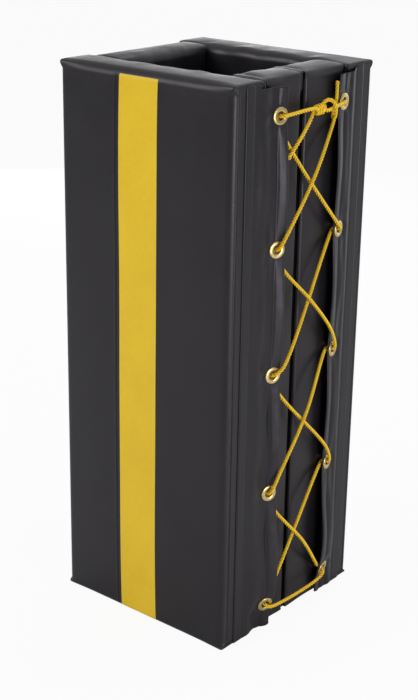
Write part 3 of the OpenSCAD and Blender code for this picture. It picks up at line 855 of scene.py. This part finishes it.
def eyelet_outline():
    """The domed flange, down the bore, round the curled lip and back up outside the barrel."""
    back, dome_r = HEM_T + 2 * SEAT + 0.6, (FLANGE_R - HOLE_R) / 2
    barrel, lip_r = HOLE_R + 0.7, HOLE_R + 2.9
    rows = [(HOLE_R + dome_r + dome_r * math.cos(a), SEAT + FLANGE_H * math.sin(a) ** 0.8)
            for a in np.linspace(0, math.pi, 19)]
    rows[0] = (FLANGE_R, SEAT + 0.02)
    rows += [(HOLE_R, h) for h in (-0.6, -1.6, -2.6)]
    rows += [((HOLE_R + lip_r) / 2 + (lip_r - HOLE_R) / 2 * math.cos(a), -back - SEAT + 1.0 * math.sin(a))
             for a in np.linspace(math.pi, 2 * math.pi, 11)]
    rows += [(barrel + 0.1, -back - SEAT), (barrel, -back), (barrel, -1.4), (barrel, SEAT),
             (barrel + 0.5, SEAT)]
    return rows


def washer_outline():
    face, inner = HEM_T + SEAT, HOLE_R + 1.0
    return [(inner, -face), (WASHER_R - 0.3, -face), (WASHER_R, -face - 0.15),
            (WASHER_R, -face - 0.45), (WASHER_R - 0.3, -face - 0.6), (10.0, -face - 0.75),
            (inner + 0.4, -face - 0.6), (inner, -face - 0.5)]


for flap, name in ((FRONT, "front"), (BACK, "back")):
    for k in range(GROMMETS):
        at, axis = flap.grommet(k)
        at, axis = (at.x, flap.side * at.y, at.z), (axis.x, flap.side * axis.y, axis.z)
        lathe(f"{name}_grommet_{k + 1}", eyelet_outline()[::-1], at, axis, f"{name}_eyelet_{k + 1}")
        lathe(f"{name}_grommet_washer_{k + 1}", washer_outline(), at, axis, f"{name}_washer_{k + 1}", 48)


# The lace: one rope from cut end to cut end, on the same route as in the part's source

# Each pass: flap, grommet, way through, rise of the rope in front and behind, lift over a crossing
PASSES = [
    (FRONT, 4, 1, 1, -34, 0), (BACK, 3, 1, 14, -6, 0), (FRONT, 2, 1, 12, -31, 0), (BACK, 1, 1, 32, -3, 0),
    (FRONT, 0, -1, -6, 40, 0), (BACK, 0, 1, -13, 12, 0), (FRONT, 1, -1, 34, -32, 13.5),
    (BACK, 2, -1, 34, -1, 7.5), (FRONT, 3, -1, 27, -30, 8.5), (BACK, 4, -1, -1, -22, 6.5),
]
THROUGH = ((5.4, 5.5), (1.8, 1.2), (-8.0, 0.8))
EDGE_FRONT, EDGE_BACK = 4.9, -7.0
KNOT_AT = (15.0, 5.5, -1.0)
KNOT_HALF = [(-11, 2.1, 3.7), (-8.2, -4.8, 2.4), (-5.5, -4.9, -2.2), (-2.8, 1.8, -3.7), (0, 6, 0),
             (2.8, 1.8, 3.7), (5.5, -4.9, 2.2), (8.2, -4.8, -2.4), (10, 2.1, -3.9)]
TAIL_1, TAIL_1_END = [(-14, -9.5, -3.5), (-41, -31, 1.5)], [(19, -65, -4.5)]
TAIL_2 = [(12, 8.5, -1.5), (17, 12.5, 3), (24, 10, 7.5), (28.5, 1, 9.5), (33.5, -13, 6), (42, -18, -4)]
TAIL_2_END = [(-24, -9, -10.5), (-17, 6, -11.2), (-16, 33, -11.5)]


def lace_pass(flap, k, order, up_front, up_back):
    """The points through one grommet, from the flap's edge in front to its edge behind, or back."""
    points = [flap.at_edge(k, up_front, EDGE_FRONT)]
    for out, off in THROUGH:
        way = np.array([INSET, up_front if out > 0 else up_back], float)
        points.append(flap.near(k, out, off * way / np.linalg.norm(way)))
    points.append(flap.at_edge(k, up_back, EDGE_BACK))
    return points if order > 0 else points[::-1]


def lace_route():
    """The rope's centre line: a tail, half the knot, the ten passes, the other half and its tail."""
    left, right = FRONT.near(GROMMETS - 1, 0, (0, 0)), BACK.near(GROMMETS - 1, 0, (0, 0))
    knot_y = (left[1] + right[1]) / 2 + KNOT_AT[1]

    def at_knot(p, y=knot_y):
        return np.array([HALF_W + KNOT_AT[0] + p[2], y + p[0], left[2] + KNOT_AT[2] + p[1]])

    route = [at_knot(p, right[1]) for p in TAIL_2_END[::-1]]
    route += [at_knot(p) for p in TAIL_2[::-1]] + [at_knot(p) for p in KNOT_HALF[::-1]]
    before = None
    for *row, lift in PASSES:
        points = lace_pass(*row)
        if lift:
            route.append((before + points[0]) / 2 + np.array([lift, 0, 0]))
        route += points
        before = points[-1]
    route += [at_knot((-p[0], -p[1], p[2])) for p in KNOT_HALF]
    route += [at_knot(p) for p in TAIL_1] + [at_knot(p, left[1]) for p in TAIL_1_END]
    return np.array(route)


def between_knots(t, t0, t1, a, b):
    return (t1 - t) / (t1 - t0) * a + (t - t0) / (t1 - t0) * b


def smoothed(route, step):
    """A smooth curve through the route's points, at even steps."""
    p = np.concatenate([[2 * route[0] - route[1]], route, [2 * route[-1] - route[-2]]])
    knots = np.concatenate([[0], np.cumsum(np.linalg.norm(np.diff(p, axis=0), axis=1) ** 0.5)])
    dense = []
    for i in range(1, len(p) - 2):
        t0, t1, t2, t3 = knots[i - 1:i + 3]
        t = np.linspace(t1, t2, 24, endpoint=False)[:, None]
        a1 = between_knots(t, t0, t1, p[i - 1], p[i])
        a2 = between_knots(t, t1, t2, p[i], p[i + 1])
        a3 = between_knots(t, t2, t3, p[i + 1], p[i + 2])
        b1, b2 = between_knots(t, t0, t2, a1, a2), between_knots(t, t1, t3, a2, a3)
        dense.append(between_knots(t, t1, t2, b1, b2))
    dense = np.concatenate(dense + [route[-1:]])
    far = np.concatenate([[0], np.cumsum(np.linalg.norm(np.diff(dense, axis=0), axis=1))])
    count = int(round(far[-1] / step)) + 1
    even = np.linspace(0, far[-1], count)
    return np.stack([np.interp(even, far, dense[:, k]) for k in range(3)], 1), even


ROPE_STEP, LAY, STRAND_R, RING_R, UV_LONG = 1.35, 17.5, 1.33, 1.73, 40.0


def rope(name, node):
    """Three round strands laid round the route, a little looser at the cut ends."""
    line, far = smoothed(lace_route(), ROPE_STEP)
    along = unit(np.gradient(line, axis=0))
    side = [np.cross(along[0], [0, 0, 1.0])]
    side[0] /= np.linalg.norm(side[0])
    for d in along[1:]:
        s = side[-1] - side[-1].dot(d) * d
        side.append(s / np.linalg.norm(s))
    side = np.array(side)
    up = np.cross(along, side)
    sides = 10
    verts, faces, uv, wear_and_painted_light = [], [], [], []
    loosen = 0.55 * bell(far, 4.0) + 0.75 * bell(far - far[-1], 6.0)
    for strand in range(3):
        turn = 2 * math.pi * (far / LAY + strand / 3)
        off = (RING_R + loosen)[:, None]
        centre = line + off * (np.cos(turn)[:, None] * side + np.sin(turn)[:, None] * up)
        way = unit(np.gradient(centre, axis=0))
        out = unit(centre - line)
        out = unit(out - np.sum(out * way, 1)[:, None] * way)
        flank = np.cross(way, out)
        base = len(verts)
        for q in range(sides):
            a = 2 * math.pi * q / sides
            ring = centre + STRAND_R * (math.cos(a) * out + math.sin(a) * flank)
            verts += list(ring)
            # painted shade: each strand's side that faces the rope's middle is marked for the darker
            # valley colour
            wear_and_painted_light += [float(smooth((0.62 - math.cos(a)) / 0.9))] * len(far)
            uv += [(f / UV_LONG, (q if q <= sides / 2 else sides - q) / sides) for f in far]
        rows = len(far)
        for q in range(sides):
            a, b = base + q * rows, base + (q + 1) % sides * rows
            faces += [(a + j, b + j, b + j + 1, a + j + 1) for j in range(rows - 1)]
        faces.append(tuple(base + q * rows for q in range(sides))[::-1])
        faces.append(tuple(base + q * rows + rows - 1 for q in range(sides)))
    obj = make_object(name, verts, faces, ROPE, node, wear_and_painted_light=wear_and_painted_light, uv=uv)
    return obj, line, along, far


def melted_end(name, at, way, seed, size):
    """The end of the rope, cut hot: the strands run together in a rounded, uneven lump."""
    rows, turn = 9, 18
    way = Vector(way)
    frame_of = way.to_track_quat("Z", "Y").to_matrix()
    verts, uv = [], []
    for j in range(rows):
        f = j / (rows - 1)
        r = size * math.sin(math.pi * (0.12 + 0.85 * f)) ** 0.6
        h = (f - 0.55) * 3.4
        for q in range(turn):
            a = 2 * math.pi * q / turn
            lobes = 1 + 0.10 * math.cos(3 * a + seed) * (1 - f) + 0.05 * math.sin(5 * a + seed + 3 * f)
            p = frame_of @ Vector((r * lobes * math.cos(a), r * lobes * math.sin(a), h))
            verts.append(np.array(at) + np.array(p))
            uv.append((h / UV_LONG, q / turn))
    faces = grid_faces(rows, turn, close=True)
    faces += [tuple(range(turn))[::-1], tuple((rows - 1) * turn + q for q in range(turn))]
    obj = make_object(name, verts, faces, MELTED, uv=uv)
    return obj


lace, line, along, far = rope("yellow_lace", "lace")
end_1 = melted_end("lace_end_1", line[0], -along[0], 1.0, 3.0)
end_2 = melted_end("lace_end_2", line[-1], along[-1], 2.4, 3.3)


# Camera, floor and light

AZIMUTH, ELEVATION, ROLL = 39.402, 20.231, 0.9958
FOCAL_PIXELS, PHOTO_PIXELS, SENSOR = 1433.5, 700, 36.0
CAMERA_AT = (1.42688, -1.74713, 1.26058)
FLOOR_HALF, FLOOR_Z = 16.0, -0.0008
WHITE = (1, 1, 1, 1)


def set_camera():
    az, el, roll = math.radians(AZIMUTH), math.radians(ELEVATION), math.radians(ROLL)
    back = Vector((math.sin(az) * math.cos(el), -math.cos(az) * math.cos(el), math.sin(el)))
    right = Vector((math.cos(az), math.sin(az), 0))
    up = back.cross(right)
    x = math.cos(roll) * right + math.sin(roll) * up
    y = -math.sin(roll) * right + math.cos(roll) * up
    data = bpy.data.cameras.new("photo_camera")
    data.sensor_width, data.lens = SENSOR, FOCAL_PIXELS / PHOTO_PIXELS * SENSOR
    data.clip_end = 60
    obj = new_object("photo_camera", data)
    obj.matrix_world = Matrix.Translation(CAMERA_AT) @ Matrix((x, y, back)).transposed().to_4x4()
    bpy.context.scene.camera = obj


def set_floor():
    mesh = bpy.data.meshes.new("studio_floor")
    corners = ((-1, -1), (1, -1), (1, 1), (-1, 1))
    mesh.from_pydata([(x * FLOOR_HALF, y * FLOOR_HALF, FLOOR_Z) for x, y in corners], [], [(0, 1, 2, 3)])
    obj = new_object("studio_floor", mesh)
    mat = bpy.data.materials.new("studio_floor_white")
    mat.use_nodes = True
    tree = mat.node_tree
    tree.nodes.clear()
    paint = add(tree, "ShaderNodeBsdfDiffuse", {"Color": (0.80, 0.80, 0.80, 1)})
    glow = add(tree, "ShaderNodeEmission", {"Color": WHITE, "Strength": 1.0})
    seen = add(tree, "ShaderNodeLightPath", {}).outputs["Is Camera Ray"]
    mix = add(tree, "ShaderNodeMixShader", {"Fac": maths(tree, "MULTIPLY", seen, 0.93),
                                            1: paint.outputs[0], 2: glow.outputs[0]})
    add(tree, "ShaderNodeOutputMaterial", {"Surface": mix.outputs[0]})
    mesh.materials.append(mat)


def set_light():
    scene = bpy.context.scene
    world = bpy.data.worlds.new("studio")
    scene.world = world
    world.use_nodes = True
    tree = world.node_tree
    tree.nodes.clear()
    soft = add(tree, "ShaderNodeBackground", {"Color": WHITE, "Strength": 0.46})
    white = add(tree, "ShaderNodeBackground", {"Color": WHITE, "Strength": 1.0})
    seen = add(tree, "ShaderNodeLightPath", {}).outputs["Is Camera Ray"]
    mix = add(tree, "ShaderNodeMixShader", {"Fac": seen, 1: soft.outputs[0], 2: white.outputs[0]})
    add(tree, "ShaderNodeOutputWorld", {"Surface": mix.outputs[0]})
    for name, at, aim, size, power in (
            ("key_softbox", (-1.6, -2.6, 2.4), (0, 0, 0.5), 1.6, 42),
            ("side_softbox", (2.6, -0.5, 0.56), (0.1, 0, 0.45), 1.1, 22),
            ("top_softbox", (0.1, 0.9, 3.0), (0, 0, 0.7), 3.2, 22),
            ("rear_softbox", (-0.7, 1.9, 1.6), (0, 0, 0.9), 1.5, 3.5),
            ("back_softbox", (0.5, 2.7, 0.8), (0.1, 0, 0.45), 1.6, 7),
            ("far_softbox", (-2.3, 2.2, 0.55), (0, 0, 0.45), 1.5, 20)):
        data = bpy.data.lights.new(name, "AREA")
        data.size, data.energy = size, power
        data.color = (0.975, 0.965, 1.0)
        obj = new_object(name, data)
        way = Vector(at) - Vector(aim)
        obj.matrix_world = Matrix.Translation(at) @ way.to_track_quat("Z", "Y").to_matrix().to_4x4()
        obj.visible_camera = False
    scene.view_settings.view_transform = "Standard"


set_camera()
set_floor()
set_light()
